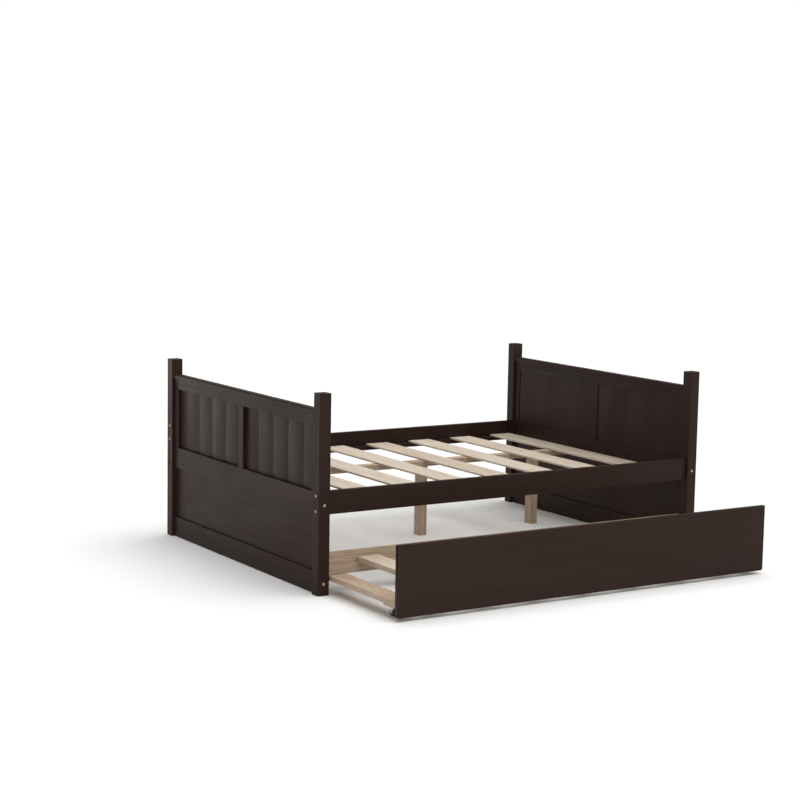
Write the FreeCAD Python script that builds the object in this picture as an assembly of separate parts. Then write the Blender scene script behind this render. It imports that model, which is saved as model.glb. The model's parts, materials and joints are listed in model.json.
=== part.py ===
# A full-size platform bed with a roll-out trundle, as separate pieces.
#
# Frame: millimetres, +Z up, X along the bed's length, the trundle rolls out towards -Y.
# The origin is on the floor, below the middle of the whole piece with the trundle out.
# One STEP file is written for each piece, or for each group of identical fasteners.

import FreeCAD, Part
import math
import os

os.makedirs("parts", exist_ok=True)

Vector = FreeCAD.Vector
X_AXIS = Vector(1, 0, 0)
Y_AXIS = Vector(0, 1, 0)
Z_AXIS = Vector(0, 0, 1)

# ---------------------------------------------------------------- driving sizes, mm
bed_length = 2019.0          # outside of the posts, along X
bed_width = 1456.0           # outside of the posts, along Y
post_side = 54.0
post_height = 841.0
post_edge_radius = 4.0
stack_hole_radius = 5.0      # for the pins that carry an upper bunk
stack_hole_depth = 40.0

side_rail_thickness = 24.0
side_rail_height = 99.0
side_rail_top = 435.0
side_rail_edge_radius = 3.0

frame_thickness = 26.0       # rails and stiles of the two ends
top_rail_height = 48.5
mid_rail_bottom = 330.0
mid_rail_height = 97.0
bottom_rail_bottom = 3.0
bottom_rail_height = 92.0
edge_stile_width = 36.0
centre_stile_width = 44.0
frame_edge_radius = 1.5

cap_drop = 69.0              # top of the posts to the top of the cap
cap_width = 40.0
cap_nosing_height = 20.0
cap_neck_width = 32.0
cap_neck_height = 18.0
cap_nosing_radius = 7.0
cap_underside_radius = 3.0
cap_neck_radius = 2.0

upper_panel_thickness = 7.0  # at the crown of a board
upper_panel_inset = 4.0      # from the frame's inner face
board_pitch = 134.0          # the upper panels look like upright boards side by side
board_crown = 3.5            # a board's middle stands this far above the groove at its edge
rear_first_groove = 55.0     # from the rear edge of the rear opening
front_first_groove = 115.0   # from the rear edge of the front opening
lower_panel_thickness = 9.0
lower_panel_recess = 9.0     # from the frame's outer face
panel_groove_depth = 9.0
panel_edge_play = 1.0        # between a panel's edge and the bottom of its groove
panel_face_play = 0.15       # between a panel's face and the groove's wall

slat_count = 8
slat_width = 124.0
slat_thickness = 9.0
slat_end_inset = 65.5        # end of the bed to the first slat's edge
slat_drop = 64.0             # top of the side rails to the top of the slats
slat_end_play = 5.0
slat_edge_radius = 1.5
cleat_depth = 25.0
cleat_height = 20.0
cleat_end_gap = 50.0         # leaves the rails' barrel nuts open

beam_width = 50.0
beam_height = 27.0
beam_centre_from_front = 900.0
beam_end_play = 1.0
leg_x_size = 40.0
leg_left_inset = 419.0       # left end of the bed to the first leg's middle
leg_right_inset = 286.0
leg_count = 3
bracket_height = 22.0
bracket_leg = 24.0
bracket_thickness = 2.5
bracket_screw_length = 14.0

bolt_radius = 3.0
bolt_hole_radius = 3.5
bolt_head_radius = 5.5
bolt_head_height = 6.0
bolt_socket_across = 5.0
bolt_socket_depth = 3.0
bolt_reach = 46.0            # past the post's inner face
counterbore_radius = 6.0
counterbore_depth = 20.0
plug_thickness = 6.0
plug_proud = 0.6
nut_radius = 5.0
nut_length = 16.0
nut_hole_play = 0.1
nut_thread_play = 0.05
nut_from_tip = 12.0
nut_recess = 2.0
side_bolt_spacing = 65.0
side_bolt_drop = 2.0         # the pair's middle, below the middle of the rail
spare_plug_heights = (463.0, 526.0)
dowel_radius = 4.0
dowel_length = 40.0
dowel_play = 0.1
top_dowel_spacing = 24.0
stile_dowel_inset = 9.0      # from an edge stile's inner edge

screw_head_radius = 4.0
screw_head_height = 2.6
screw_shank_radius = 1.9
screw_length = 22.0
screw_play = 0.1
screw_socket_across = 2.8
screw_socket_depth = 1.2

trundle_side_play = 2.0      # front panel to the posts
trundle_depth = 579.0
trundle_out = 529.0          # front of the panel to the front of the posts, as it stands
panel_thickness = 20.0
panel_bottom = 15.0
panel_height = 291.0
panel_corner_radius = 10.0
panel_edge_radius = 2.0
rear_board_thickness = 20.0
rear_board_height = 92.0
board_end_setback = 3.0      # trundle boards, from the ends of the front panel
bearer_width = 88.0
bearer_thickness = 22.0
front_cleat_depth = 25.0
rear_cleat_depth = 12.0
trundle_cleat_height = 42.0
front_cleat_inset = 32.0     # from the ends of the other trundle boards
trundle_slat_count = 7
trundle_slat_width = 100.0
trundle_slat_thickness = 22.0
trundle_slat_inset = 150.5   # end of the front panel to the first slat's edge
trundle_slat_end_play = 2.0
board_edge_radius = 1.5

block_width = 64.0
front_block_length = 110.0
rear_block_length = 64.0
front_block_thickness = 13.0
block_screw_offset = 26.0    # from the middle of a rear block, beside the caster's plate
block_screw_length = 55.0
front_caster_from_front = 106.0
rear_caster_inset = 365.0    # from the ends of the trundle boards
wheel_radius = 20.0
wheel_width = 14.0
wheel_edge_radius = 3.0
wheel_groove_depth = 1.2
axle_radius = 3.0
axle_head_radius = 5.0
axle_head_height = 2.0
axle_play = 0.05
fork_gap = 1.0               # between a wheel and a fork's cheek
fork_top_gap = 3.0           # between a wheel and the fork's plate
fork_sheet = 2.0
fork_top_length = 40.0
fork_tip_radius = 8.0
plate_side = 40.0
plate_screw_inset = 7.0
plate_screw_length = 22.0

# ---------------------------------------------------------------- sizes that follow
half_length = bed_length / 2
total_depth = bed_width + trundle_out
front_y = trundle_out - total_depth / 2      # front faces of the front posts
rear_y = front_y + bed_width
frame_setback = (post_side - frame_thickness) / 2
rail_setback = (post_side - side_rail_thickness) / 2
side_rail_bottom = side_rail_top - side_rail_height
top_rail_top = post_height - cap_drop - cap_nosing_height
top_rail_bottom = top_rail_top - top_rail_height
mid_rail_top = mid_rail_bottom + mid_rail_height
bottom_rail_top = bottom_rail_bottom + bottom_rail_height
slat_top = side_rail_top - slat_drop
slat_underside = slat_top - slat_thickness
slat_pitch = (bed_length - 2 * slat_end_inset - slat_width) / (slat_count - 1)
inner_front_y = front_y + rail_setback + side_rail_thickness
inner_rear_y = rear_y - rail_setback - side_rail_thickness
beam_y = front_y + beam_centre_from_front
beam_bottom = slat_underside - beam_height
trundle_front_y = front_y - trundle_out
trundle_rear_y = trundle_front_y + trundle_depth
trundle_length = bed_length - 2 * post_side - 2 * trundle_side_play
board_half = trundle_length / 2 - board_end_setback
caster_top = 2 * wheel_radius + fork_top_gap + fork_sheet
bearer_bottom = caster_top + front_block_thickness
bearer_top = bearer_bottom + bearer_thickness
trundle_cleat_top = bearer_top + trundle_cleat_height
trundle_slat_pitch = (trundle_length - 2 * trundle_slat_inset - trundle_slat_width) / (trundle_slat_count - 1)

bodies = {}
cuts = {}


# ---------------------------------------------------------------- helpers
def box(x0, x1, y0, y1, z0, z1):
    low = Vector(min(x0, x1), min(y0, y1), min(z0, z1))
    return Part.makeBox(abs(x1 - x0), abs(y1 - y0), abs(z1 - z0), low)


def rod(start, direction, radius, length):
    return Part.makeCylinder(radius, length, start, direction)


def round_edges(shape, radius, along):
    """Rounds the straight edges that run along the axes named in along."""
    chosen = []
    for edge in shape.Edges:
        d = edge.tangentAt(edge.FirstParameter)
        parts = (abs(d.x), abs(d.y), abs(d.z))
        if "XYZ"[parts.index(max(parts))] in along:
            chosen.append(edge)
    return shape.makeFillet(radius, chosen)


def add(name, shape):
    bodies[name] = shape
    cuts.setdefault(name, [])


def group(name, shapes):
    bodies[name] = Part.makeCompound(shapes)
    cuts.setdefault(name, [])


def cut(name, shape):
    cuts.setdefault(name, []).append(shape)


def hex_prism(start, direction, across, depth):
    """A hexagonal prism with its axis along direction."""
    side = Vector(0, 0, 1) if abs(direction.z) < 0.5 else Vector(1, 0, 0)
    other = direction.cross(side)
    radius = across / math.sqrt(3)
    points = []
    for i in range(7):
        angle = math.radians(60 * i)
        points.append(start + side * (radius * math.cos(angle)) + other * (radius * math.sin(angle)))
    return Part.Face(Part.makePolygon(points)).extrude(direction * depth)


# ---------------------------------------------------------------- fasteners
bolts = []
barrel_nuts = []
plugs = []
dowels = []
bed_screws = []
trundle_screws = []


def plug(mouth, inward):
    """A round wooden plug in the mouth of a counterbore, a little proud of the face."""
    body = rod(mouth - inward * plug_proud, inward, counterbore_radius, plug_thickness)
    plugs.append(body.makeChamfer(plug_proud / 2, [body.Edges[0]]))


def bolt_joint(post, rail, mouth, inward, nut_side, plugged):
    """A bolt from the post's face into a barrel nut in the rail. nut_side points from the
    bolt to the face of the rail that the nut is put in through."""
    head = mouth + inward * (counterbore_depth - bolt_head_height)
    tip = post_side + bolt_reach - counterbore_depth + bolt_head_height
    cut(post, rod(mouth, inward, counterbore_radius, counterbore_depth))
    cut(post, rod(mouth, inward, bolt_hole_radius, post_side))
    cut(rail, rod(mouth + inward * post_side, inward, bolt_hole_radius, bolt_reach + nut_from_tip / 2))
    bolt = rod(head, inward, bolt_head_radius, bolt_head_height)
    bolt = bolt.fuse(rod(head, inward, bolt_radius, tip))
    bolts.append(bolt.cut(hex_prism(head, inward, bolt_socket_across, bolt_socket_depth)))
    centre = mouth + inward * (post_side + bolt_reach - nut_from_tip)
    half_rail = (side_rail_thickness if abs(inward.x) > 0.5 else frame_thickness) / 2
    outer_end = centre + nut_side * (half_rail - nut_recess)
    nut = rod(outer_end, nut_side * -1, nut_radius, nut_length)
    barrel_nuts.append(nut.cut(rod(centre - inward * nut_radius * 2, inward,
                                   bolt_radius + nut_thread_play, nut_radius * 4)))
    cut(rail, rod(centre + nut_side * half_rail, nut_side * -1, nut_radius + nut_hole_play,
                  nut_length + nut_recess + nut_hole_play))
    if plugged:
        plug(mouth, inward)


def dowel(start, direction, names):
    """A dowel that starts half its length before the joint face, in both pieces named."""
    low = start - direction * (dowel_length / 2)
    dowels.append(rod(low, direction, dowel_radius, dowel_length))
    for name in names:
        cut(name, rod(low - direction * dowel_play, direction, dowel_radius + dowel_play,
                      dowel_length + 2 * dowel_play))


def screw(store, head_top, direction, length, names):
    """A countersunk screw with its head flush at head_top, and its hole in each piece named."""
    head = Part.makeCone(screw_head_radius, screw_shank_radius, screw_head_height, head_top, direction)
    body = head.fuse(rod(head_top, direction, screw_shank_radius, length))
    store.append(body.cut(hex_prism(head_top, direction, screw_socket_across, screw_socket_depth)))
    clear = Part.makeCone(screw_head_radius + screw_play, screw_shank_radius + screw_play,
                          screw_head_height, head_top, direction)
    clear = clear.fuse(rod(head_top, direction, screw_shank_radius + screw_play, length + screw_play))
    for name in names:
        cut(name, clear)


# ---------------------------------------------------------------- posts
def make_posts():
    for y_name, y0, y_sign in (("front", front_y, 1), ("rear", rear_y, -1)):
        for x_name, side in (("left", -1), ("right", 1)):
            x0 = side * half_length
            shape = box(x0, x0 - side * post_side, y0, y0 + y_sign * post_side, 0, post_height)
            name = f"{y_name}_{x_name}_post"
            add(name, round_edges(shape, post_edge_radius, "Z"))
            top = Vector(x0 - side * post_side / 2, y0 + y_sign * post_side / 2, post_height)
            cut(name, rod(top, Z_AXIS * -1, stack_hole_radius, stack_hole_depth))


# ---------------------------------------------------------------- the two ends
def cap_section(side):
    """The moulded cap's outline across the end: a nosing over a narrower grooved neck."""
    middle = side * (half_length - post_side / 2)
    z_neck = top_rail_top - cap_neck_height
    z_top = top_rail_top + cap_nosing_height
    nosing = box(middle - cap_width / 2, middle + cap_width / 2,
                 front_y + post_side, rear_y - post_side, top_rail_top, z_top)
    upper = [e for e in nosing.Edges if abs(e.CenterOfMass.z - z_top) < 1e-6
             and abs(e.tangentAt(e.FirstParameter).y) > 0.5]
    nosing = nosing.makeFillet(cap_nosing_radius, upper)
    lower = [e for e in nosing.Edges if abs(e.CenterOfMass.z - top_rail_top) < 1e-6
             and abs(e.tangentAt(e.FirstParameter).y) > 0.5]
    nosing = nosing.makeFillet(cap_underside_radius, lower)
    neck = box(middle - cap_neck_width / 2, middle + cap_neck_width / 2,
               front_y + post_side, rear_y - post_side, z_neck, top_rail_top)
    neck_edges = [e for e in neck.Edges if abs(e.CenterOfMass.z - z_neck) < 1e-6
                  and abs(e.tangentAt(e.FirstParameter).y) > 0.5]
    neck = neck.makeFillet(cap_neck_radius, neck_edges)
    return nosing.fuse(neck)


def make_end(side):
    end = "left" if side < 0 else "right"
    outer_x = side * (half_length - frame_setback)
    inner_x = outer_x - side * frame_thickness
    y0 = front_y + post_side
    y1 = rear_y - post_side
    centre_y = (y0 + y1) / 2

    def frame_piece(name, ya, yb, za, zb, along):
        add(f"{end}_{name}", round_edges(box(outer_x, inner_x, ya, yb, za, zb), frame_edge_radius, along))

    frame_piece("top_rail", y0, y1, top_rail_bottom, top_rail_top, "Y")
    frame_piece("mid_rail", y0, y1, mid_rail_bottom, mid_rail_top, "Y")
    frame_piece("bottom_rail", y0, y1, bottom_rail_bottom, bottom_rail_top, "Y")
    frame_piece("front_stile", y0, y0 + edge_stile_width, mid_rail_top, top_rail_bottom, "Z")
    frame_piece("rear_stile", y1 - edge_stile_width, y1, mid_rail_top, top_rail_bottom, "Z")
    frame_piece("centre_stile", centre_y - centre_stile_width / 2, centre_y + centre_stile_width / 2,
                mid_rail_top, top_rail_bottom, "Z")
    add(f"{end}_cap_rail", cap_section(side))
    cut(f"{end}_cap_rail", box(outer_x, inner_x, y0, y1, top_rail_top - cap_neck_height, top_rail_top))

    openings = (
        ("front", y0 + edge_stile_width, centre_y - centre_stile_width / 2, front_first_groove),
        ("rear", centre_y + centre_stile_width / 2, y1 - edge_stile_width, rear_first_groove),
    )
    for place, ya, yb, first_groove in openings:
        make_upper_panel(end, side, outer_x, place, ya, yb, first_groove)
    make_lower_panel(end, side, outer_x, y0, y1)
    fasten_end(end, side, y0, y1, centre_y)


def make_upper_panel(end, side, outer_x, place, ya, yb, first_groove):
    """A thin panel, flat inside and worked into crowned boards outside, in grooves all round."""
    grip = panel_groove_depth - panel_edge_play
    back_x = outer_x - side * (frame_thickness - upper_panel_inset)
    face_x = back_x + side * upper_panel_thickness
    z0 = mid_rail_top - grip
    z1 = top_rail_bottom + grip
    crown_radius = board_pitch ** 2 / (8 * board_crown) + board_crown / 2
    high = yb - first_groove + board_pitch * math.ceil(first_groove / board_pitch)
    boards = []
    while high > ya - grip:
        low = high - board_pitch
        board = box(face_x, back_x, max(low, ya - grip), min(high, yb + grip), z0, z1)
        centre = Vector(face_x - side * crown_radius, (low + high) / 2, z0)
        boards.append(board.common(rod(centre, Z_AXIS, crown_radius, z1 - z0)))
        high = low
    add(f"{end}_{place}_upper_panel", boards[0].fuse(boards[1:]).removeSplitter())
    slot_x0 = face_x + side * panel_face_play
    slot_x1 = back_x - side * panel_face_play
    slot = box(slot_x0, slot_x1, ya - panel_groove_depth, yb + panel_groove_depth,
               mid_rail_top - panel_groove_depth, top_rail_bottom + panel_groove_depth)
    for piece in ("top_rail", "mid_rail", "centre_stile", f"{place}_stile"):
        cut(f"{end}_{piece}", slot)


def make_lower_panel(end, side, outer_x, y0, y1):
    """The flat lower board, between the posts, held in the mid and bottom rails."""
    grip = panel_groove_depth - panel_edge_play
    face_x = outer_x - side * lower_panel_recess
    back_x = face_x - side * lower_panel_thickness
    add(f"{end}_lower_panel", box(face_x, back_x, y0 + panel_face_play, y1 - panel_face_play,
                                  bottom_rail_top - grip, mid_rail_bottom + grip))
    slot = box(face_x + side * panel_face_play, back_x - side * panel_face_play, y0, y1,
               bottom_rail_top - panel_groove_depth, mid_rail_bottom + panel_groove_depth)
    cut(f"{end}_mid_rail", slot)
    cut(f"{end}_bottom_rail", slot)


def fasten_end(end, side, y0, y1, centre_y):
    x = side * (half_length - post_side / 2)
    mid_z = mid_rail_bottom + mid_rail_height / 2
    bottom_z = bottom_rail_bottom + bottom_rail_height / 2
    inside = Vector(-side, 0, 0)
    for place, face, joint, inward in (("front", front_y, y0, Y_AXIS), ("rear", rear_y, y1, Y_AXIS * -1)):
        post = f"{place}_{end}_post"
        for z, rail in ((mid_z, "mid_rail"), (bottom_z, "bottom_rail")):
            bolt_joint(post, f"{end}_{rail}", Vector(x, face, z), inward, inside, True)
        for step in (-0.5, 0.5):
            z = (top_rail_bottom + top_rail_top) / 2 + step * top_dowel_spacing
            dowel(Vector(x, joint, z), inward, (post, f"{end}_top_rail"))
    from_post = edge_stile_width - stile_dowel_inset
    for piece, y in (("front_stile", y0 + from_post), ("centre_stile", centre_y),
                     ("rear_stile", y1 - from_post)):
        outer_wall = frame_thickness - upper_panel_inset - upper_panel_thickness
        dowel_x = side * (half_length - frame_setback - outer_wall / 2)
        dowel(Vector(dowel_x, y, mid_rail_top), Z_AXIS, (f"{end}_mid_rail", f"{end}_{piece}"))
        dowel(Vector(dowel_x, y, top_rail_bottom), Z_AXIS, (f"{end}_top_rail", f"{end}_{piece}"))


# ---------------------------------------------------------------- side rails, slats, centre beam
def make_sides():
    rail_half = half_length - post_side
    bolt_mid = side_rail_top - side_rail_height / 2 - side_bolt_drop
    for place, face, sign in (("front", front_y, 1), ("rear", rear_y, -1)):
        outer = face + sign * rail_setback
        inner = outer + sign * side_rail_thickness
        rail = f"{place}_side_rail"
        add(rail, round_edges(box(-rail_half, rail_half, outer, inner, side_rail_bottom, side_rail_top),
                              side_rail_edge_radius, "X"))
        cleat_half = rail_half - cleat_end_gap
        cleat = box(-cleat_half, cleat_half, inner, inner + sign * cleat_depth,
                    slat_underside - cleat_height, slat_underside)
        add(f"{place}_slat_cleat", round_edges(cleat, slat_edge_radius, "X"))
        y = face + sign * post_side / 2
        for side, x_name in ((-1, "left"), (1, "right")):
            post = f"{place}_{x_name}_post"
            inward = Vector(-side, 0, 0)
            for step in (-0.5, 0.5):
                mouth = Vector(side * half_length, y, bolt_mid + step * side_bolt_spacing)
                bolt_joint(post, rail, mouth, inward, Vector(0, sign, 0), place == "front")
            if place == "rear":
                for z in spare_plug_heights:
                    mouth = Vector(side * half_length, y, z)
                    cut(post, rod(mouth, inward, counterbore_radius, counterbore_depth))
                    plug(mouth, inward)
        for i in range(slat_count - 1):
            x = (i - (slat_count - 2) / 2) * slat_pitch
            z = slat_underside - cleat_height / 2
            head = Vector(x, inner + sign * cleat_depth, z)
            screw(bed_screws, head, Vector(0, -sign, 0), cleat_depth + side_rail_thickness / 2,
                  (f"{place}_slat_cleat", rail))


def make_slats():
    y0 = inner_front_y + slat_end_play
    y1 = inner_rear_y - slat_end_play
    for i in range(slat_count):
        x = (i - (slat_count - 1) / 2) * slat_pitch
        name = f"slat_{i + 1}"
        slat = box(x - slat_width / 2, x + slat_width / 2, y0, y1, slat_underside, slat_top)
        add(name, round_edges(slat, slat_edge_radius, "Y"))
        for y, place in ((inner_front_y + cleat_depth / 2, "front"), (inner_rear_y - cleat_depth / 2, "rear")):
            screw(bed_screws, Vector(x, y, slat_top), Z_AXIS * -1, screw_length, (name, f"{place}_slat_cleat"))


def make_beam():
    beam_half = half_length - frame_setback - frame_thickness - beam_end_play
    beam = box(-beam_half, beam_half, beam_y - beam_width / 2, beam_y + beam_width / 2,
               beam_bottom, slat_underside)
    add("centre_beam", round_edges(beam, slat_edge_radius, "X"))
    legs = []
    first_leg = leg_left_inset - half_length
    leg_pitch = (half_length - leg_right_inset - first_leg) / (leg_count - 1)
    for i in range(leg_count):
        x = first_leg + i * leg_pitch
        leg = box(x - leg_x_size / 2, x + leg_x_size / 2, beam_y - beam_width / 2,
                  beam_y + beam_width / 2, 0, beam_bottom)
        legs.append(round_edges(leg, slat_edge_radius, "Z"))
        dowel(Vector(x, beam_y, beam_bottom), Z_AXIS, ("centre_legs", "centre_beam"))
    group("centre_legs", legs)


def make_brackets():
    """Angle brackets that hold each end of the centre beam to the mid rails."""
    brackets = []
    z0 = slat_underside - (beam_height + bracket_height) / 2
    z = z0 + bracket_height / 2
    for side, end in ((-1, "left"), (1, "right")):
        wall = side * (half_length - frame_setback - frame_thickness)
        for sign in (-1, 1):
            y = beam_y + sign * beam_width / 2
            on_wall = box(wall, wall - side * bracket_thickness, y, y + sign * bracket_leg,
                          z0, z0 + bracket_height)
            on_beam = box(wall, wall - side * bracket_leg, y, y + sign * bracket_thickness,
                          z0, z0 + bracket_height)
            brackets.append(on_wall.fuse(on_beam).removeSplitter())
            reach = (bracket_leg + bracket_thickness) / 2
            screw(bed_screws, Vector(wall - side * bracket_thickness, y + sign * reach, z), Vector(side, 0, 0),
                  bracket_screw_length, ("beam_brackets", f"{end}_mid_rail"))
            screw(bed_screws, Vector(wall - side * reach, y + sign * bracket_thickness, z),
                  Vector(0, -sign, 0), bracket_screw_length, ("beam_brackets", "centre_beam"))
    group("beam_brackets", brackets)


# ---------------------------------------------------------------- trundle
def make_trundle():
    y_panel = trundle_front_y + panel_thickness
    y_board = trundle_rear_y - rear_board_thickness
    half = trundle_length / 2
    panel = box(-half, half, trundle_front_y, y_panel, panel_bottom, panel_bottom + panel_height)
    low_corners = [e for e in panel.Edges if abs(e.tangentAt(e.FirstParameter).y) > 0.5
                   and e.CenterOfMass.z < panel_bottom + 1]
    panel = panel.makeFillet(panel_corner_radius, low_corners)
    rim = [e for e in panel.Edges if abs(e.CenterOfMass.y - trundle_front_y) < 1e-6]
    add("trundle_front_panel", panel.makeFillet(panel_edge_radius, rim))

    board = box(-board_half, board_half, y_board, trundle_rear_y, bearer_top, bearer_top + rear_board_height)
    add("trundle_rear_board", round_edges(board, board_edge_radius, "X"))
    cleat_half = board_half - front_cleat_inset
    front_cleat = box(-cleat_half, cleat_half, y_panel, y_panel + front_cleat_depth,
                      bearer_top, trundle_cleat_top)
    add("trundle_front_cleat", round_edges(front_cleat, board_edge_radius, "X"))
    rear_cleat = box(-board_half, board_half, y_board - rear_cleat_depth, y_board,
                     bearer_top, trundle_cleat_top)
    add("trundle_rear_cleat", round_edges(rear_cleat, board_edge_radius, "X"))

    slats = []
    for i in range(trundle_slat_count):
        x = (i - (trundle_slat_count - 1) / 2) * trundle_slat_pitch
        slat = box(x - trundle_slat_width / 2, x + trundle_slat_width / 2,
                   y_panel + trundle_slat_end_play, y_board - trundle_slat_end_play,
                   trundle_cleat_top, trundle_cleat_top + trundle_slat_thickness)
        slats.append(round_edges(slat, board_edge_radius, "Y"))
    group("trundle_slats", slats)
    for i in range(trundle_slat_count):
        x = (i - (trundle_slat_count - 1) / 2) * trundle_slat_pitch
        for y, cleat in ((y_panel + front_cleat_depth / 2, "trundle_front_cleat"),
                         (y_board - rear_cleat_depth / 2, "trundle_rear_cleat")):
            top = Vector(x, y, trundle_cleat_top + trundle_slat_thickness)
            screw(trundle_screws, top, Z_AXIS * -1, trundle_slat_thickness + trundle_cleat_height / 2,
                  ("trundle_slats", cleat))
        gap_x = x + trundle_slat_pitch / 2
        if i < trundle_slat_count - 1:
            z = trundle_cleat_top - trundle_cleat_height / 2
            screw(trundle_screws, Vector(gap_x, y_panel + front_cleat_depth, z), Y_AXIS * -1,
                  front_cleat_depth + panel_thickness / 2, ("trundle_front_cleat", "trundle_front_panel"))
            screw(trundle_screws, Vector(gap_x, y_board - rear_cleat_depth, z), Y_AXIS,
                  rear_cleat_depth + rear_board_thickness / 2, ("trundle_rear_cleat", "trundle_rear_board"))

    for side, end in ((-1, "left"), (1, "right")):
        outer = side * board_half
        bearer = box(outer, outer - side * bearer_width, y_panel, trundle_rear_y, bearer_bottom, bearer_top)
        name = f"trundle_{end}_bearer"
        add(name, round_edges(bearer, board_edge_radius, "Y"))
        x = outer - side * bearer_width / 2
        screw(trundle_screws, Vector(x, y_panel + front_cleat_depth / 2, trundle_cleat_top), Z_AXIS * -1,
              trundle_cleat_top - bearer_top + bearer_thickness / 2, ("trundle_front_cleat", name))
        screw(trundle_screws, Vector(x, trundle_rear_y - rear_board_thickness / 2, bearer_bottom), Z_AXIS,
              bearer_thickness + screw_length, (name, "trundle_rear_board"))


def make_casters():
    blocks = []
    forks = []
    axles = []
    y_panel = trundle_front_y + panel_thickness
    y_block = trundle_rear_y - rear_block_length
    y_rear = (y_block + trundle_rear_y) / 2
    for side, end in ((-1, "left"), (1, "right")):
        places = (
            ("front", board_half - bearer_width / 2, trundle_front_y + front_caster_from_front,
             y_panel, y_panel + front_block_length, bearer_bottom, f"trundle_{end}_bearer"),
            ("rear", board_half - rear_caster_inset, y_rear,
             y_block, trundle_rear_y, bearer_top, "trundle_rear_board"),
        )
        for place, from_middle, y, y0, y1, block_top, above in places:
            x = side * from_middle
            block = box(x - block_width / 2, x + block_width / 2, y0, y1, caster_top, block_top)
            blocks.append(round_edges(block, board_edge_radius, "Z"))
            forks.append(make_fork(x, y))
            axles.append(make_axle(x, y))
            add(f"{place}_{end}_wheel", make_wheel(x, y))
            inset = plate_side / 2 - plate_screw_inset
            for dx in (-inset, inset):
                for dy in (-inset, inset):
                    screw(trundle_screws, Vector(x + dx, y + dy, caster_top - fork_sheet), Z_AXIS,
                          plate_screw_length, ("caster_forks", "caster_blocks", above))
            if place == "rear":
                for dx in (-block_screw_offset, block_screw_offset):
                    head = Vector(x + dx, trundle_rear_y - rear_board_thickness / 2, caster_top)
                    screw(trundle_screws, head, Z_AXIS, block_screw_length, ("caster_blocks", above))
    group("caster_blocks", blocks)
    group("caster_forks", forks)
    group("caster_axles", axles)


def make_fork(x, y):
    """A pressed plate with two tapered cheeks, one each side of the wheel."""
    half = plate_side / 2
    fork = box(x - half, x + half, y - half, y + half, caster_top - fork_sheet, caster_top)
    fork = round_edges(fork, post_edge_radius, "Z")
    z_top = caster_top - fork_sheet
    for sign in (-1, 1):
        face = x + sign * (wheel_width / 2 + fork_gap)
        corner = fork_top_length / 2
        tip = Part.makeCylinder(fork_tip_radius, fork_sheet, Vector(face, y, wheel_radius), X_AXIS * sign)
        points = [Vector(face, y - corner, z_top), Vector(face, y + corner, z_top),
                  Vector(face, y + fork_tip_radius, wheel_radius),
                  Vector(face, y - fork_tip_radius, wheel_radius), Vector(face, y - corner, z_top)]
        cheek = Part.Face(Part.makePolygon(points)).extrude(X_AXIS * (sign * fork_sheet))
        fork = fork.fuse(cheek).fuse(tip)
    reach = wheel_width / 2 + fork_gap + fork_sheet
    hole = rod(Vector(x - reach, y, wheel_radius), X_AXIS, axle_radius, 2 * reach)
    return fork.cut(hole).removeSplitter()


def make_axle(x, y):
    reach = wheel_width / 2 + fork_gap + fork_sheet
    axle = rod(Vector(x - reach, y, wheel_radius), X_AXIS, axle_radius, 2 * reach)
    for sign in (-1, 1):
        start = Vector(x + sign * reach, y, wheel_radius)
        axle = axle.fuse(rod(start, X_AXIS * sign, axle_head_radius, axle_head_height))
    return axle.removeSplitter()


def make_wheel(x, y):
    """A moulded wheel with a rounded tread, a dished web on each side and a running bore."""
    start = Vector(x - wheel_width / 2, y, wheel_radius)
    wheel = rod(start, X_AXIS, wheel_radius, wheel_width)
    rims = [e for e in wheel.Edges if isinstance(e.Curve, Part.Circle)]
    wheel = wheel.makeFillet(wheel_edge_radius, rims)
    for sign in (-1, 1):
        face = Vector(x + sign * wheel_width / 2, y, wheel_radius)
        outer = rod(face, X_AXIS * -sign, wheel_radius - 2 * wheel_edge_radius, wheel_groove_depth)
        inner = rod(face, X_AXIS * -sign, axle_radius * 2, wheel_groove_depth)
        wheel = wheel.cut(outer.cut(inner))
    return wheel.cut(rod(start, X_AXIS, axle_radius + axle_play, wheel_width))


# ---------------------------------------------------------------- build and write
make_posts()
make_end(-1)
make_end(1)
make_sides()
make_slats()
make_beam()
make_brackets()
make_trundle()
make_casters()
group("wood_plugs", plugs)
group("connector_bolts", bolts)
group("barrel_nuts", barrel_nuts)
group("joint_dowels", dowels)
group("bed_screws", bed_screws)
group("trundle_screws", trundle_screws)

for node in sorted(bodies):
    shape = bodies[node]
    if cuts[node]:
        shape = shape.cut(cuts[node])
    solids = shape.Solids
    if not solids or not all(solid.isValid() for solid in solids):
        raise ValueError(f"{node} isn't a set of valid solids")
    shape = solids[0] if len(solids) == 1 else Part.makeCompound(solids)
    shape.exportStep(f"parts/{node}.step")
print(len(bodies), "nodes")
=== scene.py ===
# %% [markdown]
# # A trundle bed in dark lacquered wood
# The bed is a frame of four square posts, two panelled ends and two side rails. Bare slats lie across
# it, and a low bed on wheels, the trundle, rolls out from under it. The exact shapes come from the
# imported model, and this lesson gives them their finishes and their fine detail.

# %% Load the frame
import json
import math
import bpy
import bmesh
from mathutils import Matrix, Vector


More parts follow.
